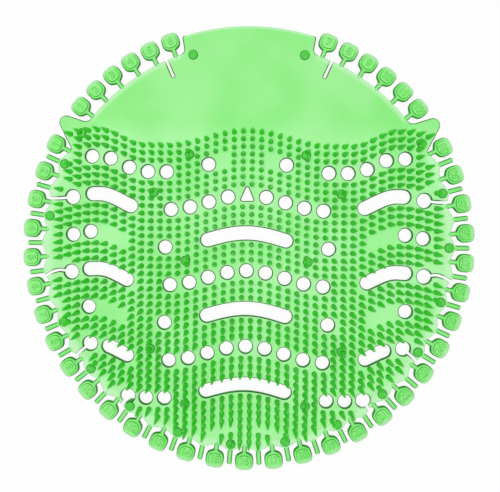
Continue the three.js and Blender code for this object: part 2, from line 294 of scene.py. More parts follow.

# %% [markdown]
# The rolled edge of an opening is painted darkest, as shade, and the upright wall below it gets a
# paler painted shade again.
# The apron by the crown is deeper in colour than the field of bristles. The last 2 mm of the sheet
# are thin, and the light coming through them is painted on as a pale band, except at the crown's
# flanks and on the ears; the crown's top edge gets the same painted light. All this depends on
# where a point lies in the plan, and Object coordinates give that.

# %% Apron and pale rim of the sheet
RIM_RADIUS = 87.5
CENTRE_Y = 1.6
CROWN_REACH = 7.3
APRON_FROM = 44
APRON_TO = 56
APRON_TINT = [0.73, 0.97, 0.69, 1.0]
# Painted shade for upright walls, paler than on the rolled edge
WALL_GREEN = linear(140, 232, 132)
# Painted light, where thin plastic lets light through: the rim, the crown's top edge and the tabs'
# outer ends
PALE = linear(200, 250, 196)

# Angles from the crown's middle, in degrees: the pale rim comes in or ends between each two
CROWN_TOP_TO = 17.2
MONTHS_FROM = (18.9, 20.6)
MONTHS_TO = (50.4, 52.7)
DAYS_FROM = (62.5, 63.6)


def in_plan(tree):
    """A point's height in the plan, its distance from the middle and its angle from the crown."""
    parts = tree.nodes.new("ShaderNodeSeparateXYZ")
    tree.links.new(tree.nodes.new("ShaderNodeTexCoord").outputs["Object"], parts.inputs[0])
    across = parts.outputs["X"]
    up = math_node(tree, "SUBTRACT", parts.outputs["Y"], CENTRE_Y * MM)
    squares = [math_node(tree, "MULTIPLY", v, v) for v in (across, up)]
    reach = math_node(tree, "SQRT", math_node(tree, "ADD", *squares), 0.0)
    return up, reach, math_node(tree, "ABSOLUTE", math_node(tree, "ARCTAN2", across, up), 0.0)


def past(tree, angle, limits):
    """0 before the first of two angles and 1 past the second, with a soft step."""
    return map_range(tree, angle, *(math.radians(limit) for limit in limits))


tree = sheet_plastic.node_tree
up, reach, angle = in_plan(tree)
# Painted shade on upright walls, paler than on the rolled edge, set by the slope
paint_over(sheet_plastic, map_range(tree, slope(tree), 0.6, 0.9, 0, 0.65), WALL_GREEN)
apron = map_range(tree, up, APRON_FROM * MM, APRON_TO * MM)
paint_over(sheet_plastic, apron, APRON_TINT, "MULTIPLY")
months = [past(tree, angle, limits) for limits in (MONTHS_FROM, MONTHS_TO)]
by_months = math_node(tree, "SUBTRACT", *months)
by_tabs = math_node(tree, "ADD", by_months, past(tree, angle, DAYS_FROM))
# Painted light: a pale band along the rim and along the crown's top edge
at_rim = map_range(tree, reach, (RIM_RADIUS - 3) * MM, (RIM_RADIUS - 0.2) * MM, 0, 0.95)
pale_rim = math_node(tree, "MULTIPLY", at_rim, by_tabs)
crown_top = RIM_RADIUS + CROWN_REACH
at_top = map_range(tree, reach, (crown_top - 1.6) * MM, (crown_top - 0.3) * MM, 0, 0.9)
on_crown = math_node(tree, "LESS_THAN", angle, math.radians(CROWN_TOP_TO))
pale_top = math_node(tree, "MULTIPLY", at_top, on_crown)
paint_over(sheet_plastic, math_node(tree, "MAXIMUM", pale_rim, pale_top), PALE)
print("apron deeper from", APRON_FROM, "mm above the middle")

# %% Greens of the other parts
# Each steep green here is painted shade: it darkens the edges of the tab heads, necks, stubs and
# numbers, and a little the flanks of the bristles
bristle_plastic = soft_plastic(
    "bristle_plastic", linear(102, 237, 88), linear(90, 232, 76), linear(98, 235, 84), 0.3, 1.0,
    gloss=0.1, scatter=1.0, depth=8.0)
tab_plastic = soft_plastic(
    "tab_plastic", linear(134, 242, 120), linear(40, 160, 42), linear(148, 246, 136), 0.02, 0.38)
rod_plastic = soft_plastic(
    "rod_plastic", linear(136, 240, 126), linear(42, 150, 48), linear(148, 244, 140), 0.06, 0.5)
number_plastic = soft_plastic(
    "number_plastic", linear(128, 238, 116), linear(36, 150, 38), linear(140, 242, 128), 0.02, 0.25)
print("made", [m.name for m in bpy.data.materials if m.name.endswith("plastic")])

# %% [markdown]
# Light comes through where the plastic is thin. The outer ends of the tabs and the tips of the
# bristles are therefore paler than the rest.

# %% Pale ends of the tabs and tips of the bristles
TAB_PALE_FROM = RIM_RADIUS + 7.2
TAB_PALE_TO = RIM_RADIUS + 10.6
TIP_PALE_FROM = 11.5
TIP_PALE_TO = 15.0
TIP_GREEN = linear(158, 246, 148)

tree = tab_plastic.node_tree
reach = in_plan(tree)[1]
paint_over(tab_plastic, map_range(tree, reach, TAB_PALE_FROM * MM, TAB_PALE_TO * MM, 0, 0.85), PALE)

tree = bristle_plastic.node_tree
parts = tree.nodes.new("ShaderNodeSeparateXYZ")
tree.links.new(tree.nodes.new("ShaderNodeTexCoord").outputs["Object"], parts.inputs[0])
at_tip = map_range(tree, parts.outputs["Z"], TIP_PALE_FROM * MM, TIP_PALE_TO * MM, 0, 0.2)
paint_over(bristle_plastic, at_tip, TIP_GREEN)
print("tabs paler from", TAB_PALE_FROM, "mm, bristles from", TIP_PALE_FROM, "mm up")

# %% [markdown]
# ## Plan of the screen
# The whole plan is drawn in angles from the crown, clockwise, and distances from the middle. A few
# short functions turn these into points, so every form on the rim can be placed by its angle.


# %% Points in plan
def polar(radius, angle):
    a = math.radians(angle)
    return Vector((radius * math.sin(a), radius * math.cos(a)))


def beside(radius, angle, offset):
    """A point beside a line from the middle, offset to its clockwise side."""
    a = math.radians(angle)
    return polar(radius, angle) + Vector((math.cos(a), -math.sin(a))) * offset


def arc(centre, radius, start, end, steps):
    turns = [math.radians(start + (end - start) * i / steps) for i in range(steps + 1)]
    return [centre + Vector((math.cos(t), math.sin(t))) * radius for t in turns]


def mirrored(point):
    return Vector((-point.x, point.y))


def lifted(point, height):
    """A point of the plan at a height, in metres and in the model's own frame."""
    return Vector((point.x, point.y + CENTRE_Y, height)) * MM


print("the crown's top is at y", round(lifted(polar(94.8, 0), 0).y / MM, 1), "mm")

# %% [markdown]
# ## Where the tabs are
# Six month tabs stand on each side of the crown, then an ear, then the thirty-one day tabs. The
# ears' width and the months' pitch leave the days' pitch.

# %% Angles of the tabs
CROWN_HALF_ANGLE = 18.0
MONTHS = 12
MONTH_PITCH = 5.93
FIRST_MONTH = CROWN_HALF_ANGLE + 3.3
LAST_MONTH = FIRST_MONTH + MONTH_PITCH * (MONTHS / 2 - 1)
EAR_START = LAST_MONTH + 2.2
EAR_END = EAR_START + 8.9
DAYS = 31
FIRST_DAY = EAR_END + 0.9
DAY_PITCH = (360 - 2 * FIRST_DAY) / (DAYS - 1)
CROWN_SLIT = FIRST_MONTH + MONTH_PITCH / 2

day_angles = [FIRST_DAY + DAY_PITCH * i for i in range(DAYS)]
month_angles = [FIRST_MONTH + MONTH_PITCH * i for i in range(MONTHS // 2)]
month_angles += [-angle for angle in month_angles]
stub_angles = [FIRST_DAY + DAY_PITCH * (i + 0.5) for i in range(DAYS - 1)]
print(len(month_angles), "months,", len(day_angles), "days", round(DAY_PITCH, 2), "degrees apart")

# %% [markdown]
# ## The wave
# Bristles, holes and slots all follow one wave across the sheet: down from the middle, level for a
# little, up to a crest near each side and down again. Half a cosine gives each rise and fall.

# %% Wave and rows
WAVE_DEPTH = 6.6
CENTRE_HALF_WAVE = 34.4
TROUGH_WIDTH = 10.1
SIDE_HALF_WAVE = 20.2
TOP_ROW_Y = 37.8
ROW_PITCH = 16.4


def wave_drop(x):
    """How far the wave has dropped below its middle at a distance from the middle line."""
    trough_end = CENTRE_HALF_WAVE + TROUGH_WIDTH
    crest = trough_end + SIDE_HALF_WAVE
    x = abs(x)
    if x < CENTRE_HALF_WAVE:
        phase = x / CENTRE_HALF_WAVE
    elif x < trough_end:
        phase = 1
    else:
        phase = (crest - x) / SIDE_HALF_WAVE if x < crest else (x - crest) / CENTRE_HALF_WAVE
    return WAVE_DEPTH / 2 * (1 - math.cos(math.pi * phase))


def on_row(row, x):
    return Vector((x, TOP_ROW_Y - ROW_PITCH * row - wave_drop(x)))


# Each row has holes by the middle line, holes in from the side of the rim, and slots
ROWS = [
    {"holes": [16.9], "side_holes": [19.6, 27.7, 35.9, 44.1, 52.3]},
    {"holes": [8.3, 16.6, 24.8, 33.1], "side_slot": (36.8, 20.1)},
    {"holes": [35.4], "slot": 17, "side_holes": [11.7, 19.3]},
    {"holes": [0, 8.3, 16.6, 24.8, 33.2], "side_slot": (35.4, 19.1)},
    {"holes": [35.4], "slot": 17, "side_holes": [18.9]},
    {"holes": [0, 8.3, 16.6, 24.9, 33.3], "side_slot": (35.8, 27.9)},
    {"holes": [], "slot": 17, "side_holes": [44.4, 52.4]},
]
print(len(ROWS), "rows,", ROW_PITCH, "mm apart")

# %% [markdown]
# ## Keyholes
# Some rows end in a keyhole: a drain hole with a slit out to the rim beside a tab's neck, which
# lets the sheet bend there. The outline simply walks in along one side of the slit, round the hole
# and out again, so no cutting is needed.

# %% Keyholes and slits
HOLE_RADIUS = 3.075
SLIT_WIDTH = 1.1
SLIT_STEP = 1.3
SLIT_START = 0.9
WEB_REACH = 2.7
CROWN_SLIT_LENGTH = 8.2

# The neck is counted from the ear; hole and exit are angles from that neck
KEYHOLES = [
    {"neck": 2, "inset": 8.8, "hole": -3.1, "exit": -1.1, "bend": -0.5},
    {"neck": 5, "inset": 10, "hole": -2.4, "exit": -2.4, "bend": 3.2},
    {"neck": 8, "inset": 6.7, "hole": -2.4, "exit": -1.6, "bend": 0.5},
    {"neck": 10, "inset": 3.6, "hole": 1.6, "exit": 1.8, "bend": 0},
]


def keyhole_centre(keyhole):
    return polar(RIM_RADIUS - keyhole["inset"], day_angles[keyhole["neck"]] + keyhole["hole"])


def rim_at(angle):
    """The rim's radius among the day tabs: pointed webs stand out at the stubs."""
    along = ((angle - FIRST_DAY) / DAY_PITCH) % 1
    return RIM_RADIUS + WEB_REACH * (1 - abs(2 * along - 1))


def slit_line(keyhole, steps=10):
    """Points along the middle of a keyhole's slit, from the hole's centre to the rim."""
    start = keyhole_centre(keyhole)
    exit_angle = day_angles[keyhole["neck"]] + keyhole["exit"]
    end = polar(rim_at(exit_angle), exit_angle)
    middle = (start + end) / 2 + Vector((0, keyhole["bend"]))
    ts = [i / steps for i in range(steps + 1)]
    return [start * (1 - t) ** 2 + middle * 2 * t * (1 - t) + end * t * t for t in ts]


def keyhole_walk(keyhole):
    """The outline's detour round a keyhole, coming clockwise along the rim."""
    centre = keyhole_centre(keyhole)
    length = (slit_line(keyhole, 1)[-1] - centre).length
    line = slit_line(keyhole, round(length / SLIT_STEP))
    inward, outward = [], []
    for before, point in zip(line, line[1:]):
        if (point - centre).length > HOLE_RADIUS + SLIT_START:
            ahead = (point - before).normalized()
            side = Vector((ahead.y, -ahead.x)) * (SLIT_WIDTH / 2)
            inward.insert(0, point - side)
            outward.append(point + side)
    mouth = (inward[-1] + outward[0]) / 2 - centre
    toward = math.degrees(math.atan2(mouth.y, mouth.x))
    half_mouth = math.degrees(math.asin(SLIT_WIDTH / 2 / HOLE_RADIUS))
    start, end = toward + half_mouth, toward + 360 - half_mouth
    return inward + arc(centre, HOLE_RADIUS, start, end, 30) + outward


print("keyhole detour of", len(keyhole_walk(KEYHOLES[0])), "points")

# %% [markdown]
# ## Outline
# Half of the outline runs clockwise from the top of the crown to the lowest neck, and its mirror
# image closes it. Round corners are short arcs, because no edge of a moulding is quite sharp.

# %% Outline of the sheet
CROWN_FILLET = 2.6
CROWN_CORNER = 0.9
CROWN_FLARE = 0.3
CROWN_STEPS = 24
CROWN_ARC_SHARE = 0.965
EAR_REACH = 7.7
EAR_ROUND = 3.1
EAR_TIP_ANGLE = 3.5
EAR_UPPER_NORMAL = 106
EAR_LOWER_NORMAL = -32

# The valley before the ear: the angle from the ear's start and the height over the rim
EAR_VALLEY = [(-1.3, 0), (-0.6, 0.25), (-0.1, 0.8), (0.35, 1.7)]


def rim_arc(start, end, step=1.0):
    count = max(1, round((end - start) / step))
    return [polar(RIM_RADIUS, start + (end - start) * i / count) for i in range(count + 1)]


def crown_walk():
    crown_radius = RIM_RADIUS + CROWN_REACH
    arc_end = CROWN_HALF_ANGLE * CROWN_ARC_SHARE
    points = [polar(crown_radius, arc_end * i / CROWN_STEPS) for i in range(CROWN_STEPS + 1)]
    corner = beside(crown_radius - CROWN_CORNER, CROWN_HALF_ANGLE, -CROWN_CORNER)
    points += arc(corner, CROWN_CORNER, 90 - CROWN_HALF_ANGLE, -CROWN_HALF_ANGLE, 5)
    flank = CROWN_HALF_ANGLE + CROWN_FLARE
    fillet = beside(RIM_RADIUS + CROWN_FILLET, flank, CROWN_FILLET)
    turn = 180 - flank
    return points + arc(fillet, CROWN_FILLET, turn, turn + 90, 8)


def crown_slit_walk():
    half = SLIT_WIDTH / 2
    end = RIM_RADIUS - CROWN_SLIT_LENGTH + half
    turn = 90 - CROWN_SLIT
    round_end = arc(polar(end, CROWN_SLIT), half, turn + 90, turn + 270, 6)
    mouth = [beside(RIM_RADIUS, CROWN_SLIT, side * half) for side in (-1, 1)]
    return mouth[:1] + round_end + mouth[1:]


def ear_walk():
    centre = polar(RIM_RADIUS + EAR_REACH, EAR_START + EAR_TIP_ANGLE)
    valley = [polar(RIM_RADIUS + rise, EAR_START + angle) for angle, rise in EAR_VALLEY]
    tip = arc(centre, EAR_ROUND, EAR_UPPER_NORMAL, EAR_LOWER_NORMAL, 14)
    return valley + tip + [polar(RIM_RADIUS, EAR_END)]


def day_walk():
    exits = [(day_angles[k["neck"]] + k["exit"], k) for k in KEYHOLES]
    points = []
    for i in range(DAYS):
        angle = FIRST_DAY + DAY_PITCH * i / 2
        points.append(polar(rim_at(angle), angle))
        for exit_angle, keyhole in exits:
            if angle < exit_angle <= angle + DAY_PITCH / 2:
                points += keyhole_walk(keyhole)
    return points


FILLET_END = CROWN_HALF_ANGLE + 2.2
SLIT_MARGIN = 1.3
VALLEY_START = EAR_START - 1.8

right_half = crown_walk() + rim_arc(FILLET_END, CROWN_SLIT - SLIT_MARGIN) + crown_slit_walk()
right_half += rim_arc(CROWN_SLIT + SLIT_MARGIN, VALLEY_START) + ear_walk() + day_walk()
sheet_outline = right_half + [mirrored(p) for p in right_half[1:-1]][::-1]
print("outline of", len(sheet_outline), "points")

# %% [markdown]
# ## Holes and slots
# A round hole is a circle. A slot is a band of even width along the wave, with round ends. The
# edges roll inwards, so each opening is a little tighter at half the thickness of the sheet.

# %% Loops inside the outline
SLOT_WIDTH = 6.2
HOLE_SIDES = 36
LIP = 0.2


def slot_line(row, start, end, step=1.2):
    count = round((end - start) / step)
    return [on_row(row, start + (end - start) * i / count) for i in range(count + 1)]


def band(line, width):
    """The loop round a line at half the width, with round ends."""
    left, right = [], []
    for i, point in enumerate(line):
        ahead = (line[min(i + 1, len(line) - 1)] - line[max(i - 1, 0)]).normalized()
        side = Vector((-ahead.y, ahead.x)) * (width / 2)
        left.append(point + side)
        right.append(point - side)
    last = math.degrees(math.atan2(*(line[-1] - line[-2]).yx))
    first = math.degrees(math.atan2(*(line[1] - line[0]).yx))
    end_cap = arc(line[-1], width / 2, last + 90, last - 90, 14)[1:-1]
    start_cap = arc(line[0], width / 2, first - 90, first - 270, 14)[1:-1]
    return left + end_cap + right[::-1] + start_cap


hole_centres, slot_lines = [], []
for row, features in enumerate(ROWS):
    xs = features["holes"] + [RIM_RADIUS - inset for inset in features.get("side_holes", [])]
    for x in xs:
        hole_centres += [on_row(row, side * x) for side in ((1, -1) if x else (1,))]
    if "slot" in features:
        slot_lines.append(slot_line(row, -features["slot"], features["slot"]))
    if "side_slot" in features:
        inner, outer = [RIM_RADIUS - inset for inset in features["side_slot"]]
        slot_lines += [slot_line(row, inner, outer), slot_line(row, -outer, -inner)]

hole_loops = [arc(c, HOLE_RADIUS - LIP, 0, 360, HOLE_SIDES)[:-1] for c in hole_centres]
slot_loops = [band(line, SLOT_WIDTH - 2 * LIP) for line in slot_lines]
print(len(hole_loops), "holes and", len(slot_loops), "slots")

# %% Arrow that points to the crown
ARROW_HEIGHT = 6.3
ARROW_WIDTH = 6.0
ARROW_CORNER = 0.55
ARROW_BELOW_ROW = 2.5
TOP_CUT = 0.5
arrow_base = on_row(1, 0).y - ARROW_BELOW_ROW
arrow_corners = [Vector((-ARROW_WIDTH / 2, arrow_base)), Vector((ARROW_WIDTH / 2, arrow_base)),
                 Vector((0, arrow_base + ARROW_HEIGHT + TOP_CUT))]


def rounded(corners, radius, steps=4):
    """A closed shape with its corners rounded, given counterclockwise."""
    points = []
    for i, corner in enumerate(corners):
        before = (corners[i - 1] - corner).normalized()
        after = (corners[(i + 1) % len(corners)] - corner).normalized()
        half = before.angle(after) / 2
        centre = corner + (before + after).normalized() * (radius / math.sin(half))
        start = math.degrees(math.atan2(*Vector((before.y, -before.x)).yx)) + 180
        points += arc(centre, radius, start, start + 180 - 2 * math.degrees(half), steps)
    return points


arrow_loop = rounded(arrow_corners, ARROW_CORNER)
print("arrow from y", round(arrow_base, 1), "to", round(max(p.y for p in arrow_loop), 1))

# %% [markdown]
# ## The sheet
# A flat filled curve with the openings as inner loops is the natural way to make a punched sheet:
# Blender fills it, gives it thickness and rolls its edges over. The negative offset keeps the
# rolled edge inside the outline. The result is turned into a mesh and lifted to its height.

# %% Sheet from a filled curve
EDGE_ROUND = 0.6


def curve_object(name, loops):
    curve = bpy.data.curves.new(name, "CURVE")
    curve.dimensions = "2D"
    curve.fill_mode = "BOTH"
    curve.extrude = (SHEET_THICKNESS / 2 - EDGE_ROUND) * MM
    curve.bevel_depth = EDGE_ROUND * MM
    curve.bevel_resolution = 4
    curve.offset = -EDGE_ROUND * MM
    for loop in loops:
        spline = curve.splines.new("POLY")
        spline.points.add(len(loop) - 1)
        for point, place in zip(spline.points, loop):
            point.co = (place.x * MM, (place.y + CENTRE_Y) * MM, 0, 1)
        spline.use_cyclic_u = True
    made = bpy.data.objects.new(name, curve)
    scene.collection.objects.link(made)
    return made


def plain_mesh(source, name, lift=0.0):
    """The source with all that acts on it, as a plain mesh object at the origin."""
    bpy.context.view_layer.update()
    depsgraph = bpy.context.evaluated_depsgraph_get()
    mesh = bpy.data.meshes.new_from_object(source.evaluated_get(depsgraph))
    mesh.transform(Matrix.Translation((0, 0, lift * MM)) @ source.matrix_world)
    mesh.name = name
    bpy.data.objects.remove(source)
    made = bpy.data.objects.new(name, mesh)
    scene.collection.objects.link(made)
    return made


sheet_curve = curve_object("sheet_curve", [sheet_outline, arrow_loop] + hole_loops + slot_loops)
sheet = plain_mesh(sheet_curve, "sheet", SHEET_MIDDLE)
sheet.data.materials.clear()
sheet.data.materials.append(sheet_plastic)
print("sheet of", len(sheet.data.polygons), "faces")


# %% Smooth round walls with crisp flat faces
def shade(piece, sharp_angle):
    piece.data.shade_smooth()
    piece.data.set_sharp_from_angle(angle=math.radians(sharp_angle))


shade(sheet, 14)

# %% [markdown]
# ## Where the bristles stand
# The bristles stand in straight columns, five to each pitch of the hole rows, and each column
# starts where the wave does. A bristle is left out where it would touch a hole, a slot, a slit or
# the edge, and in a few bare patches.

# %% Clear distances
COLUMN_PITCH = 3.97
BRISTLE_PITCH = ROW_PITCH / 5
BRISTLES_ABOVE_ROW = 11.4
BRISTLE_TOP = TOP_ROW_Y + BRISTLES_ABOVE_ROW
BRISTLE_COLUMNS = 25
BRISTLE_ROWS = 60
BRISTLE_WIDTH = 2.4
CLEAR = 1.03
EDGE_CLEAR = 2.0
SLIT_CLEAR = SLIT_WIDTH / 2 + 1.05
SIDE_INSET = 2.6
END_INSET = 1.4

# First and last column from the middle, first and last row from the top
BARE_PATCHES = [((2, 2), (3, 4)), ((13, 15), (13, 14)), ((13, 15), (23, 24)),
                ((1, 3), (39, 39)), ((3, 3), (40, 40))]


def distance_to(point, line, closed):
    """The shortest way from a point to a line of points."""
    nearest = math.inf
    for i in range(0 if closed else 1, len(line)):
        a, b = line[i - 1], line[i]
        along = b - a
        t = min(1, max(0, (point - a).dot(along) / along.length_squared))
        nearest = min(nearest, (point - a - along * t).length)
    return nearest


def is_inside(point, loop):
    inside = False
    for i, a in enumerate(loop):
        b = loop[i - 1]
        if (a.y > point.y) != (b.y > point.y):
            if point.x < a.x + (b.x - a.x) * (point.y - a.y) / (b.y - a.y):
                inside = not inside
    return inside


print("bristles", COLUMN_PITCH, "by", round(BRISTLE_PITCH, 2), "mm apart")

# %% Places of the bristles
edge_line = right_half + [mirrored(right_half[-1])]
round_holes = hole_centres + [keyhole_centre(k) for k in KEYHOLES]
holes_right = [centre for centre in round_holes if centre.x > -HOLE_RADIUS]
slots_right = [line for line in slot_lines if line[-1].x > 0]
crown_slit_line = [polar(RIM_RADIUS - CROWN_SLIT_LENGTH, CROWN_SLIT), polar(RIM_RADIUS, CROWN_SLIT)]
slits_right = [slit_line(k, 4) for k in KEYHOLES] + [crown_slit_line]


def has_bristle(point, column, row):
    if any(c[0] <= column <= c[1] and r[0] <= row <= r[1] for c, r in BARE_PATCHES):
        return False
    field = (point.x / (RIM_RADIUS - SIDE_INSET)) ** 2 + (point.y / (RIM_RADIUS - END_INSET)) ** 2
    if field > 1 and point.y <= polar(RIM_RADIUS, EAR_END).y:
        return False
    if any((hole - point).length < HOLE_RADIUS + CLEAR for hole in holes_right):
        return False
    if any(distance_to(point, line, False) < SLOT_WIDTH / 2 + CLEAR for line in slots_right):
        return False
    if any(distance_to(point, line, False) < SLIT_CLEAR for line in slits_right):
        return False
    if is_inside(point, arrow_loop) or distance_to(point, arrow_loop, True) < CLEAR:
        return False
    return is_inside(point, sheet_outline) and distance_to(point, edge_line, False) > EDGE_CLEAR


bristle_places = []
for column in range(BRISTLE_COLUMNS):
    x = (column + 0.5) * COLUMN_PITCH
    for row in range(BRISTLE_ROWS):
        place = Vector((x, BRISTLE_TOP - wave_drop(x) - BRISTLE_PITCH * row))
        if place.length < RIM_RADIUS + EAR_REACH and has_bristle(place, column, row):
            bristle_places += [place, mirrored(place)]
print(len(bristle_places), "bristles")

# %% [markdown]
# ## Bristles with Geometry Nodes
# One bristle is a tall thin cone with a flared foot and a round tip. The node tree makes it from a
# tube of rings: a curve over the height gives each ring its width. It then sets a copy on every
# point with a very small lean and stretch, because soft bristles are never quite alike. The seed
# is fixed, so each run gives the same ones.


# %% Node tree for the bristles
def new_tree(name, sizes):
    """An empty node tree with a geometry way through, named sizes and a material."""
    tree = bpy.data.node_groups.new(name, "GeometryNodeTree")
    face = tree.interface
    face.new_socket("Geometry", in_out="INPUT", socket_type="NodeSocketGeometry")
    face.new_socket("Geometry", in_out="OUTPUT", socket_type="NodeSocketGeometry")
    for label, kind in sizes.items():
        face.new_socket(label, in_out="INPUT", socket_type="NodeSocket" + kind)
    face.new_socket("Material", in_out="INPUT", socket_type="NodeSocketMaterial")
    return tree, tree.nodes.new("NodeGroupInput"), tree.nodes.new("NodeGroupOutput")


def add_node(tree, kind, **settings):
    """A new node with its settings."""
    node = tree.nodes.new(kind)
    for key, value in settings.items():
        setattr(node, key, value)
    return node


def join(tree, source, target):
    tree.links.new(source, target)


def finish_tree(tree, start, end, instances):
    """Realize the copies, shade them smooth and give them the material."""
    real = add_node(tree, "GeometryNodeRealizeInstances")
    smooth = add_node(tree, "GeometryNodeSetShadeSmooth")
    paint = add_node(tree, "GeometryNodeSetMaterial")
    join(tree, instances, real.inputs["Geometry"])
    join(tree, real.outputs["Geometry"], smooth.inputs["Geometry"])
    join(tree, smooth.outputs["Geometry"], paint.inputs["Geometry"])
    join(tree, start.outputs["Material"], paint.inputs["Material"])
    join(tree, paint.outputs["Geometry"], end.inputs["Geometry"])


BRISTLE_SIDES = 9
BRISTLE_RINGS = 6

bristle_tree, start, end = new_tree("bristles", {
    "Bristle Height": "Float", "Bristle Width": "Float", "Lean": "Float", "Seed": "Int"})
tube = add_node(bristle_tree, "GeometryNodeMeshCone", fill_type="NGON")
tube.inputs["Vertices"].default_value = BRISTLE_SIDES
tube.inputs["Side Segments"].default_value = BRISTLE_RINGS
for socket in ("Radius Top", "Radius Bottom", "Depth"):
    tube.inputs[socket].default_value = 1.0
print("tree", bristle_tree.name, "starts with", BRISTLE_SIDES, "by", BRISTLE_RINGS, "faces")

# %% Shape of one bristle
ring = add_node(bristle_tree, "GeometryNodeInputPosition")
ring_parts = add_node(bristle_tree, "ShaderNodeSeparateXYZ")
profile = add_node(bristle_tree, "ShaderNodeFloatCurve")
half_width = add_node(bristle_tree, "ShaderNodeMath", operation="MULTIPLY")
half_width.inputs[1].default_value = 0.5
scale = add_node(bristle_tree, "ShaderNodeMath", operation="MULTIPLY")
upward = add_node(bristle_tree, "ShaderNodeFloatCurve")
height = add_node(bristle_tree, "ShaderNodeMath", operation="MULTIPLY")
across = add_node(bristle_tree, "ShaderNodeVectorMath", operation="SCALE")
across_parts = add_node(bristle_tree, "ShaderNodeSeparateXYZ")
place = add_node(bristle_tree, "ShaderNodeCombineXYZ")
shape = add_node(bristle_tree, "GeometryNodeSetPosition")


def set_curve(node, points):
    """The curve of a Float Curve node, through the points given."""
    curve = node.mapping.curves[0]
    while len(curve.points) < len(points):
        curve.points.new(0.5, 0.5)
    for point, (x, y) in zip(curve.points, points):
        point.location = (x, y)
        point.handle_type = "AUTO_CLAMPED"
    node.mapping.update()


set_curve(profile, [(0, 1.0), (0.17, 0.93), (0.5, 0.62), (0.84, 0.28), (1, 0.05)])
set_curve(upward, [(0, 0), (0.17, 0.12), (0.67, 0.82), (0.84, 0.965), (1, 1)])
join(bristle_tree, ring.outputs[0], ring_parts.inputs[0])
join(bristle_tree, ring_parts.outputs["Z"], profile.inputs["Value"])
join(bristle_tree, ring_parts.outputs["Z"], upward.inputs["Value"])
join(bristle_tree, start.outputs["Bristle Width"], half_width.inputs[0])
join(bristle_tree, half_width.outputs[0], scale.inputs[0])
join(bristle_tree, profile.outputs[0], scale.inputs[1])
join(bristle_tree, ring.outputs[0], across.inputs[0])
join(bristle_tree, scale.outputs[0], across.inputs["Scale"])
join(bristle_tree, across.outputs[0], across_parts.inputs[0])
join(bristle_tree, start.outputs["Bristle Height"], height.inputs[0])
join(bristle_tree, upward.outputs[0], height.inputs[1])
join(bristle_tree, across_parts.outputs["X"], place.inputs["X"])
join(bristle_tree, across_parts.outputs["Y"], place.inputs["Y"])
join(bristle_tree, height.outputs[0], place.inputs["Z"])
join(bristle_tree, tube.outputs["Mesh"], shape.inputs["Geometry"])
join(bristle_tree, place.outputs[0], shape.inputs["Position"])
print("a bristle has", len(profile.mapping.curves[0].points), "widths over its height")

# %% Copies on points with a small lean
lean_back = add_node(bristle_tree, "ShaderNodeMath", operation="MULTIPLY")
lean_back.inputs[1].default_value = -1.0
lean_low = add_node(bristle_tree, "ShaderNodeCombineXYZ")
lean_high = add_node(bristle_tree, "ShaderNodeCombineXYZ")
lean = add_node(bristle_tree, "FunctionNodeRandomValue", data_type="FLOAT_VECTOR")
stretch = add_node(bristle_tree, "FunctionNodeRandomValue", data_type="FLOAT")
stretch_vector = add_node(bristle_tree, "ShaderNodeCombineXYZ")
stretch_vector.inputs["X"].default_value = 1.0
stretch_vector.inputs["Y"].default_value = 1.0
copies = add_node(bristle_tree, "GeometryNodeInstanceOnPoints")
join(bristle_tree, start.outputs["Lean"], lean_back.inputs[0])
for axis in ("X", "Y"):
    join(bristle_tree, lean_back.outputs[0], lean_low.inputs[axis])
    join(bristle_tree, start.outputs["Lean"], lean_high.inputs[axis])
join(bristle_tree, lean_low.outputs[0], lean.inputs["Min"])
join(bristle_tree, lean_high.outputs[0], lean.inputs["Max"])
for random_node in (lean, stretch):
    join(bristle_tree, start.outputs["Seed"], random_node.inputs["Seed"])
stretch.inputs[2].default_value = 0.965
stretch.inputs[3].default_value = 1.0
join(bristle_tree, stretch.outputs[1], stretch_vector.inputs["Z"])
join(bristle_tree, start.outputs["Geometry"], copies.inputs["Points"])
join(bristle_tree, shape.outputs["Geometry"], copies.inputs["Instance"])
join(bristle_tree, lean.outputs["Value"], copies.inputs["Rotation"])
join(bristle_tree, stretch_vector.outputs[0], copies.inputs["Scale"])
finish_tree(bristle_tree, start, end, copies.outputs["Instances"])
print("tree", bristle_tree.name, "has", len(bristle_tree.nodes), "nodes")


# %% Grow the bristles
def point_cloud(name, places, height, turns=None):
    """A mesh of single points in plan, each with an optional turn in degrees."""
    mesh = bpy.data.meshes.new(name)
    mesh.from_pydata([lifted(p, height) for p in places], [], [])
    if turns is not None:
        turn = mesh.attributes.new("turn", "FLOAT", "POINT")
        turn.data.foreach_set("value", [math.radians(-t) for t in turns])
    made = bpy.data.objects.new(name, mesh)
    scene.collection.objects.link(made)
    return made


def grown(source, tree, values, name):
    """The source with the tree's copies on it, as a plain mesh."""
    modifier = source.modifiers.new(name, "NODES")
    modifier.node_group = tree
    for item in tree.interface.items_tree:
        if item.item_type == "SOCKET" and item.in_out == "INPUT" and item.name in values:
            modifier[item.identifier] = values[item.name]
    return plain_mesh(source, name)


ROOT_DEPTH = 0.4
BRISTLE_LEAN = 0.022
bristle_points = point_cloud("bristle_points", bristle_places, SHEET_TOP - ROOT_DEPTH)
bristles = grown(bristle_points, bristle_tree, {
    "Bristle Height": (BRISTLE_HEIGHT + ROOT_DEPTH) * MM, "Bristle Width": BRISTLE_WIDTH * MM,
    "Lean": BRISTLE_LEAN, "Seed": 7, "Material": bristle_plastic}, "bristles")
print("bristles of", len(bristles.data.polygons), "faces")

# %% [markdown]
# ## Tabs
# A tab's head is a small pillow that a finger can grip. Its rings are rounded squares, placed one
# after another outwards, so the head is thin at the neck, full in the middle and round at its end.


# %% One tab head
NECK_LENGTH = 2.7
HEAD_LENGTH = 7.8
HEAD_INNER = RIM_RADIUS + NECK_LENGTH
HEAD_OUTER = HEAD_INNER + HEAD_LENGTH
HEAD_HALF = 4.0
HEAD_MIDDLE = HEAD_INNER + HEAD_LENGTH * 0.5

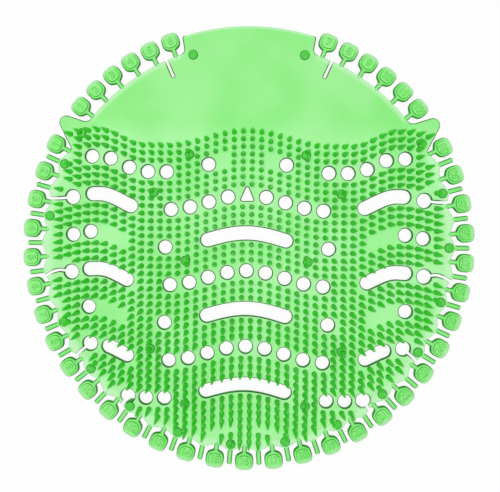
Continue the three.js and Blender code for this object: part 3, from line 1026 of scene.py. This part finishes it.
# Distance along the head, half width and half thickness as shares of the full ones
HEAD_RINGS = [(0.0, 0.28, 0.55), (0.04, 0.42, 0.68), (0.1, 0.66, 0.82), (0.17, 0.83, 0.91),
              (0.26, 0.94, 0.97), (0.38, 1.0, 1.0), (0.6, 1.0, 1.0), (0.74, 0.97, 0.98),
              (0.84, 0.9, 0.92), (0.91, 0.79, 0.82), (0.96, 0.66, 0.66), (0.99, 0.5, 0.45),
              (1.0, 0.34, 0.2)]
RING_SIDES = 24
SQUARENESS = 3.4


def rounded_square(turn, half_width, half_height, power):
    """A point on a rounded square at a turn from 0 to 1."""
    c, s = math.cos(2 * math.pi * turn), math.sin(2 * math.pi * turn)
    return (math.copysign(abs(c) ** (2 / power), c) * half_width,
            math.copysign(abs(s) ** (2 / power), s) * half_height)


def loft(name, rings):
    """A closed skin over rings of equal count, with a face at each end and all faces outwards."""
    count = len(rings[0])
    points = [p for ring in rings for p in ring]
    faces = [tuple(range(count))[::-1]]
    for i in range(len(rings) - 1):
        for j in range(count):
            a, b = i * count + j, i * count + (j + 1) % count
            faces.append((a, b, b + count, a + count))
    faces.append(tuple(range(len(points) - count, len(points))))
    mesh = bpy.data.meshes.new(name)
    mesh.from_pydata(points, [], faces)
    skin = bmesh.new()
    skin.from_mesh(mesh)
    bmesh.ops.recalc_face_normals(skin, faces=skin.faces)
    skin.to_mesh(mesh)
    skin.free()
    return bpy.data.objects.new(name, mesh)


head_rings = []
for along, wide, thick in HEAD_RINGS:
    y = (HEAD_INNER + HEAD_LENGTH * along) * MM
    half_width, half_height = HEAD_HALF * wide, TAB_THICKNESS / 2 * thick
    corners = [rounded_square(i / RING_SIDES, half_width, half_height, SQUARENESS)
               for i in range(RING_SIDES)]
    head_rings.append([(x * MM, y, z * MM) for x, z in corners])
head_shape = loft("head_shape", head_rings)

# Half width and height over the head's top of the low pad that carries the number
PAD_RINGS = [(2.8, -0.2), (2.8, 0.08), (2.7, 0.22), (2.55, 0.31), (2.35, 0.34)]
PAD_SQUARENESS = 2.8
pad_rings = []
for half, rise in PAD_RINGS:
    corners = [rounded_square(i / RING_SIDES, half, half, PAD_SQUARENESS)
               for i in range(RING_SIDES)]
    pad_rings.append([(x * MM, (HEAD_MIDDLE + y) * MM, (TAB_THICKNESS / 2 + rise) * MM)
                      for x, y in corners])
pad_shape = loft("pad_shape", pad_rings)
PAD_HEIGHT = PAD_RINGS[-1][1]
print("a head has", len(head_shape.data.polygons), "faces")


# %% Rods for the necks and stubs
def rod_shape(name, inner, outer, width, sides=12):
    """A round rod along Y with both ends rounded."""
    radius = width / 2
    stations = [(inner, 0.3), (inner + 0.1, 0.6), (inner + 0.35, 0.85), (inner + 0.8, 1.0),
                (outer - 0.5, 1.0), (outer - 0.2, 0.88), (outer - 0.05, 0.65), (outer, 0.35)]
    rings = []
    for y, share in stations:
        turns = [2 * math.pi * i / sides for i in range(sides)]
        rings.append([(math.cos(t) * radius * share * MM, y * MM, math.sin(t) * radius * share * MM)
                      for t in turns])
    return loft(name, rings)


NECK_WIDTH = 2.1
STUB_WIDTH = 2.2
STUB_LENGTH = 5.6
STUB_OUTER = RIM_RADIUS + WEB_REACH + STUB_LENGTH

# How far a rod reaches into what it joins
NECK_ROOT = 1.2
STUB_ROOT = 2.1
neck_shape = rod_shape("neck_shape", RIM_RADIUS - NECK_ROOT, HEAD_INNER + NECK_ROOT, NECK_WIDTH)
stub_shape = rod_shape("stub_shape", RIM_RADIUS + WEB_REACH - STUB_ROOT, STUB_OUTER, STUB_WIDTH)
print("a stub reaches", STUB_OUTER, "mm from the middle")

# %% [markdown]
# ## Copies round the rim with Geometry Nodes
# Heads, necks and stubs repeat round the rim. Each is drawn once at twelve o'clock, and the tree
# sets a copy on every point of the middle, turned by the point's own angle.

# %% Node tree for copies that turn round the middle
turn_tree, start, end = new_tree("turned_copies", {"Shape": "Object"})
shape_info = add_node(turn_tree, "GeometryNodeObjectInfo")
turn = add_node(turn_tree, "GeometryNodeInputNamedAttribute", data_type="FLOAT")
turn.inputs["Name"].default_value = "turn"
rotation = add_node(turn_tree, "ShaderNodeCombineXYZ")
turned = add_node(turn_tree, "GeometryNodeInstanceOnPoints")
join(turn_tree, start.outputs["Shape"], shape_info.inputs["Object"])
join(turn_tree, turn.outputs["Attribute"], rotation.inputs["Z"])
join(turn_tree, start.outputs["Geometry"], turned.inputs["Points"])
join(turn_tree, shape_info.outputs["Geometry"], turned.inputs["Instance"])
join(turn_tree, rotation.outputs[0], turned.inputs["Rotation"])
finish_tree(turn_tree, start, end, turned.outputs["Instances"])


def turned_copies(name, shape, angles, height, material):
    scene.collection.objects.link(shape)
    cloud = point_cloud(name + "_points", [Vector((0, 0))] * len(angles), height, angles)
    made = grown(cloud, turn_tree, {"Shape": shape, "Material": material}, name)
    bpy.data.objects.remove(shape)
    return made


NECK_LIFT = 0.2
tab_angles = month_angles + day_angles
tab_heads = turned_copies("tab_heads", head_shape, tab_angles, SHEET_MIDDLE, tab_plastic)
tab_pads = turned_copies("tab_pads", pad_shape, tab_angles, SHEET_MIDDLE, tab_plastic)
neck_height = SHEET_MIDDLE + NECK_LIFT
tab_necks = turned_copies("tab_necks", neck_shape, tab_angles, neck_height, rod_plastic)
stubs = turned_copies("stubs", stub_shape, stub_angles, SHEET_MIDDLE, rod_plastic)
print(len(tab_angles), "tabs and", len(stub_angles), "stubs")

# %% [markdown]
# ## Feet
# Short round feet hold the sheet off the bowl, so that water drains below it. They stand under
# every second stub, under the ears and in pairs between the rows. Seen from above, each one shows
# through the plastic as a darker round spot, which a very low round boss on the sheet gives here.

# %% Places of the feet
RIM_FOOT_INSET = 0.6
FOOT_WIDTH = 4.2
FOOT_TIP_WIDTH = 3.8
SLIT_FOOT_STUB = 25
paired_feet = [on_row(-0.4, 25.3), on_row(0.55, 40.7), on_row(2.4, 26.5), on_row(4.7, 41.4)]
paired_feet += [on_row(6.2, 26), polar(RIM_RADIUS - 1.9, 16.4)]
foot_places = paired_feet + [mirrored(p) for p in paired_feet]
rim_foot_angles = [59.3, -56.7]
rim_foot_angles += [stub_angles[i] for i in range(1, DAYS - 1, 2) if i != SLIT_FOOT_STUB]
foot_places += [polar(RIM_RADIUS - RIM_FOOT_INSET, angle) for angle in rim_foot_angles]
print(len(foot_places), "feet")


# %% Feet and the spots above them
def turned_profile(name, profile, sides):
    """A round body about Z from pairs of radius and height, closed at both ends."""
    rings = []
    for radius, z in profile:
        turns = [2 * math.pi * i / sides for i in range(sides)]
        rings.append([(math.cos(t) * radius * MM, math.sin(t) * radius * MM, z * MM)
                      for t in turns])
    return loft(name, rings)


def standing_copies(name, shape, places, material):
    scene.collection.objects.link(shape)
    cloud = point_cloud(name + "_points", places, 0, [0] * len(places))
    made = grown(cloud, turn_tree, {"Shape": shape, "Material": material}, name)
    bpy.data.objects.remove(shape)
    return made


tip, top = FOOT_TIP_WIDTH / 2, FOOT_WIDTH / 2
foot_shape = turned_profile("foot_shape", [
    (tip - 0.5, 0), (tip - 0.15, 0.12), (tip, 0.45), (top, FOOT_HEIGHT - 0.3),
    (top + 0.3, FOOT_HEIGHT + 0.2)], 24)
feet = standing_copies("feet", foot_shape, foot_places, bristle_plastic)

SPOT_HEIGHT = 0.5
# The spot's deep steep green paints a dark shaded ring round its edge
spot_plastic = soft_plastic(
    "spot_plastic", linear(74, 204, 64), linear(34, 120, 36), linear(84, 210, 74), 0.02, 0.3)
spot_shape = turned_profile("spot_shape", [
    (top, SHEET_TOP - 0.1), (top, SHEET_TOP + SPOT_HEIGHT * 0.3),
    (top - 0.25, SHEET_TOP + SPOT_HEIGHT * 0.75),
    (top - 0.55, SHEET_TOP + SPOT_HEIGHT), (0.2, SHEET_TOP + SPOT_HEIGHT)], 24)
spots = standing_copies("foot_spots", spot_shape, foot_places, spot_plastic)
print(len(feet.data.polygons), "faces on the feet")

# %% [markdown]
# ## Numbers
# The months are numbered 1 to 12 and the days 1 to 31, in low raised figures. A text becomes a mesh
# before it is turned and lifted to its tab, and all figures are then joined into one piece.

# %% Raised numbers on the tabs
NUMBER_SIZE = 4.6
NUMBER_RELIEF = 0.2
NUMBER_EDGE = 0.12
NUMBER_PLANE = SHEET_MIDDLE + TAB_THICKNESS / 2 + PAD_HEIGHT


def number_mesh(number, angle, upright):
    """A raised number on the tab at an angle, with its foot towards the middle or away from it."""
    text = bpy.data.curves.new("number", "FONT")
    text.body = str(number)
    text.size = NUMBER_SIZE * MM
    text.align_x = "CENTER"
    text.align_y = "CENTER"
    text.extrude = NUMBER_RELIEF * MM
    text.bevel_depth = NUMBER_EDGE * MM
    text.bevel_resolution = 1
    text.space_character = 0.92
    holder = bpy.data.objects.new("number", text)
    scene.collection.objects.link(holder)
    bpy.context.view_layer.update()
    depsgraph = bpy.context.evaluated_depsgraph_get()
    mesh = bpy.data.meshes.new_from_object(holder.evaluated_get(depsgraph))
    bpy.data.objects.remove(holder)
    facing = -angle if upright else 180 - angle
    place = lifted(polar(HEAD_MIDDLE, angle), NUMBER_PLANE)
    mesh.transform(Matrix.Translation(place) @ Matrix.Rotation(math.radians(facing), 4, "Z"))
    return mesh


right_months = sorted(a for a in month_angles if a > 0)
left_months = sorted(a for a in month_angles if a < 0)
number_list = [(i + 1, a, True) for i, a in enumerate(left_months + right_months)]
number_list += [(DAYS - i, a, False) for i, a in enumerate(day_angles)]

points, faces = [], []
for number, angle, upright in number_list:
    figure = number_mesh(number, angle, upright)
    first = len(points)
    points += [v.co.copy() for v in figure.vertices]
    faces += [tuple(first + i for i in p.vertices) for p in figure.polygons]
    bpy.data.meshes.remove(figure)
number_data = bpy.data.meshes.new("tab_numbers")
number_data.from_pydata(points, [], faces)
number_data.materials.append(number_plastic)
numbers = bpy.data.objects.new("tab_numbers", number_data)
scene.collection.objects.link(numbers)
print(len(number_list), "numbers of", len(faces), "faces")

# %% [markdown]
# ## The pieces on one body
# The whole screen is one moulding, so every piece rides on the same body, and the imported part is
# hidden, so together they stand for the one solid.

# %% Pieces ride on the one body
pieces = [sheet, bristles, tab_heads, tab_pads, tab_necks, stubs, feet, spots, numbers]
for piece in pieces:
    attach(piece, "root")
    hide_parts(NODE)
    print(piece.name, len(piece.data.polygons), "faces")
